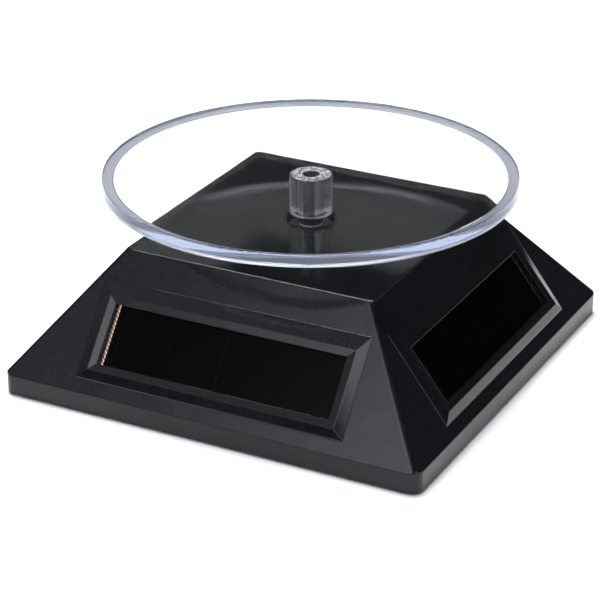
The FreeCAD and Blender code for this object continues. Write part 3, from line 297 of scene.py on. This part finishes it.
def metal(name, colour, rough):
    """Metal with a fine grain and a little tarnish."""
    made, n, s = material(name)
    where = n.position()
    lines = n.noise(where, 4000, 4, 0.7)
    tarnish = n.noise(where, 250, 3)
    dark = tuple(c * 0.8 for c in colour)
    n.put(s, "Base Color", n.blend(tarnish, rgba(*dark), rgba(*colour)))
    n.put(s, "Metallic", 1.0)
    n.put(s, "Roughness", n.spread(lines, rough - 0.08, rough + 0.08, 0.3, 0.7))
    n.put(s, "Normal", n.bump(lines, 0.000004))
    return made


def foil(name):
    """Thin copper foil, pressed with fine oblique creases and painted darker and lighter across them as
    painted shade and highlight.
    """
    made, n, s = material(name)
    creases = n.stripes(n.position((1, 1, 0.4)), FOIL_CREASE)
    # painted shade and highlight: darker and lighter bands across the creases
    n.put(s, "Base Color", n.blend(creases, rgba(*FOIL_SHADE), rgba(*FOIL_HIGHLIGHT)))
    n.put(s, "Metallic", 1.0)
    n.put(s, "Roughness", 0.3)
    n.put(s, "Normal", n.bump(creases, 0.00002))
    return made


def cell_glass(name):
    """Glass over an amorphous cell: near black, with hair-fine scribe lines across it."""
    made, n, s = material(name)
    from_middle = [n.math("ABSOLUTE", side) for side in n.split(n.position())[:2]]
    along = n.math("MINIMUM", *from_middle)
    phase = n.math("FRACT", n.math("DIVIDE", along, SCRIBE_PITCH))
    line = n.math("LESS_THAN", phase, SCRIBE_SHARE)
    n.put(s, "Base Color", n.blend(line, rgba(*CELL_COLOUR), rgba(*SCRIBE_COLOUR)))
    n.put(s, "Roughness", 0.04)
    n.put(s, "Specular IOR Level", 0.04)
    return made


MAKERS = {
    "housing_black": gloss_black,
    "base_black": lambda m: textured(m, (0.012, 0.012, 0.013), 0.42),
    "foot_rubber": lambda m: textured(m, (0.018, 0.018, 0.018), 0.75, 900, 0.00004),
    "clear_plastic": clear_plastic,
    "clear_bond": clear_bond,
    "spindle_black": lambda m: gloss_black(m, 0.01, 0.1),
    "white_acetal": lambda m: textured(m, (0.78, 0.78, 0.75), 0.4, 1200, 0.000008),
    "steel": lambda m: metal(m, (0.58, 0.57, 0.56), 0.28),
    "zinc_steel": lambda m: metal(m, (0.62, 0.63, 0.65), 0.32),
    "bronze": lambda m: metal(m, (0.62, 0.40, 0.20), 0.45),
    "brass": lambda m: metal(m, (0.80, 0.60, 0.28), 0.25),
    "copper": foil,
    "copper_wire": lambda m: metal(m, (0.55, 0.22, 0.10), 0.3),
    "ferrite": lambda m: textured(m, (0.05, 0.05, 0.055), 0.7, 1500, 0.00001),
    "motor_white": lambda m: textured(m, (0.74, 0.74, 0.72), 0.45, 1500, 0.00001),
    "board_green": lambda m: textured(m, (0.02, 0.12, 0.05), 0.3, 600, 0.000005),
    "capacitor_sleeve": lambda m: textured(m, (0.02, 0.03, 0.09), 0.25, 300, 0.000005),
    "diode_black": lambda m: textured(m, (0.02, 0.02, 0.02), 0.35, 800, 0.00001),
    "red_lead": lambda m: textured(m, (0.45, 0.02, 0.02), 0.4, 500, 0.00001),
    "black_lead": lambda m: textured(m, (0.015, 0.015, 0.015), 0.4, 500, 0.00001),
    "cell_glass": cell_glass,
    "glue": lambda m: textured(m, (0.75, 0.73, 0.66), 0.35, 200, 0.00005),
    "contact_metal": lambda m: metal(m, (0.68, 0.66, 0.62), 0.3),
}

FINISHES = {slot: maker(slot + "_finish") for slot, maker in MAKERS.items()}
for part in frame["record"]["subparts"]:
    node = frame["nodes"][part["node"]]
    for slot in node.material_slots:
        slot.material = FINISHES[part["material_slot"]]


# ------------------------------------------------------------------ the glue under the disc
def glue_ring():
    """The set glue between hub tube and disc: a thin film with ragged edges and a crinkled face."""
    low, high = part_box("hub_bond")
    inner, outer = GLUE_BORE_R, high[0]
    bottom, top = low[2] + GLUE_GAP, high[2] - GLUE_GAP
    mesh = bmesh.new()
    loops = []
    for height in (bottom, top):
        for i in range(GLUE_RINGS + 1):
            loop = []
            for j in range(GLUE_STEPS):
                a = 2 * math.pi * j / GLUE_STEPS
                ragged = GLUE_RAGGED * noise.noise((3 * math.cos(a), 3 * math.sin(a), i))
                r = inner + (outer - GLUE_RAGGED - inner) * i / GLUE_RINGS + ragged
                x, y = r * math.cos(a), r * math.sin(a)
                crinkle = noise.noise((x * GLUE_CRINKLES, y * GLUE_CRINKLES, height * GLUE_LAYERS))
                loop.append(mesh.verts.new((x, y, height + GLUE_CRINKLE * crinkle)))
            loops.append(loop)
    half = GLUE_RINGS + 1
    loops = loops[:half] + loops[half:][::-1]
    for a, b in zip(loops, loops[1:] + loops[:1]):
        for j in range(GLUE_STEPS):
            k = (j + 1) % GLUE_STEPS
            mesh.faces.new((a[j], b[j], b[k], a[k]))
    bmesh.ops.recalc_face_normals(mesh, faces=mesh.faces)
    data = bpy.data.meshes.new("glue_ring")
    mesh.to_mesh(data)
    mesh.free()
    data.materials.append(FINISHES["clear_bond"])
    piece = bpy.data.objects.new("glue_ring", data)
    bpy.context.scene.collection.objects.link(piece)
    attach(piece, "disc")
    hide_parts("hub_bond")


# ------------------------------------------------------------------ floor, light and camera
def floor():
    mesh = bpy.data.meshes.new("floor")
    h = FLOOR_HALF
    mesh.from_pydata([(-h, -h, 0), (h, -h, 0), (h, h, 0), (-h, h, 0)], [], [(0, 1, 2, 3)])
    plane = bpy.data.objects.new("floor", mesh)
    bpy.context.scene.collection.objects.link(plane)
    made, n, s = material("floor_white")
    n.put(s, "Base Color", rgba(*FLOOR_WHITE))
    n.put(s, "Roughness", 0.9)
    n.put(s, "Specular IOR Level", 0.0)
    mesh.materials.append(made)


def direction(azimuth, elevation):
    """The way from the stand to a light: azimuth 0 is the front, 90 the right."""
    a, e = math.radians(azimuth), math.radians(elevation)
    return Vector((math.sin(a) * math.cos(e), -math.cos(a) * math.cos(e), math.sin(e)))


def glow(n, where, azimuth, elevation, reach, level):
    """A soft round patch of light on the studio's walls, level in its middle and 0 at reach degrees."""
    dot = n.add("ShaderNodeVectorMath", operation="DOT_PRODUCT")
    n.put(dot, 0, where)
    n.put(dot, 1, direction(azimuth, elevation))
    spread = n.add("ShaderNodeMapRange", interpolation_type="SMOOTHSTEP")
    n.put(spread, 0, dot.outputs["Value"])
    n.put(spread, 1, math.cos(math.radians(reach)))
    n.put(spread, 2, 1.0)
    n.put(spread, 3, 0.0)
    n.put(spread, 4, level)
    return spread.outputs[0]


def world():
    scene = bpy.context.scene
    made = bpy.data.worlds.new("studio")
    made.use_nodes = True
    n = Nodes(made.node_tree)
    where = n.add("ShaderNodeTexCoord").outputs["Generated"]
    level = WALL_LEVEL
    for patch in WALL_PATCHES:
        level = n.math("ADD", glow(n, where, *patch), level)
    seen = n.add("ShaderNodeLightPath").outputs["Is Camera Ray"]
    background = n.add("ShaderNodeBackground")
    n.put(background, "Color", rgba(*WALL_TINT))
    n.put(background, "Strength", n.math("MAXIMUM", level, seen))
    out = n.add("ShaderNodeOutputWorld")
    n.tree.links.new(background.outputs[0], out.inputs[0])
    scene.world = made


def softbox(name, azimuth, elevation, distance, size, power, glossy=True):
    """An area light that faces the stand."""
    light = bpy.data.lights.new(name, "AREA")
    light.shape = "RECTANGLE"
    light.size, light.size_y = size
    light.energy = power
    made = bpy.data.objects.new(name, light)
    away = direction(azimuth, elevation)
    made.location = away * distance
    made.rotation_euler = away.to_track_quat("Z", "Y").to_euler()
    made.visible_glossy = glossy
    bpy.context.scene.collection.objects.link(made)


def camera():
    data = bpy.data.cameras.new("camera")
    data.sensor_width = 36.0
    data.lens = 137.4
    data.shift_x, data.shift_y = -0.0182, -0.0045
    data.clip_start, data.clip_end = 0.01, 20.0
    made = bpy.data.objects.new("camera", data)
    back = direction(27.33, 24.93)
    made.location = Vector((0, 0, 13.6 * MM)) + back * 526.6 * MM
    made.rotation_mode = "QUATERNION"
    made.rotation_quaternion = (-back).to_track_quat("-Z", "Y")
    bpy.context.scene.collection.objects.link(made)
    bpy.context.scene.camera = made


glue_ring()
floor()
world()
softbox("overhead", 225, 74, 1.3, (1.0, 1.0), 28.5, glossy=False)
camera()
bpy.context.scene.view_settings.view_transform = "Standard"
cycles = bpy.context.scene.cycles
cycles.max_bounces = cycles.glossy_bounces = cycles.transmission_bounces = LIGHT_BOUNCES
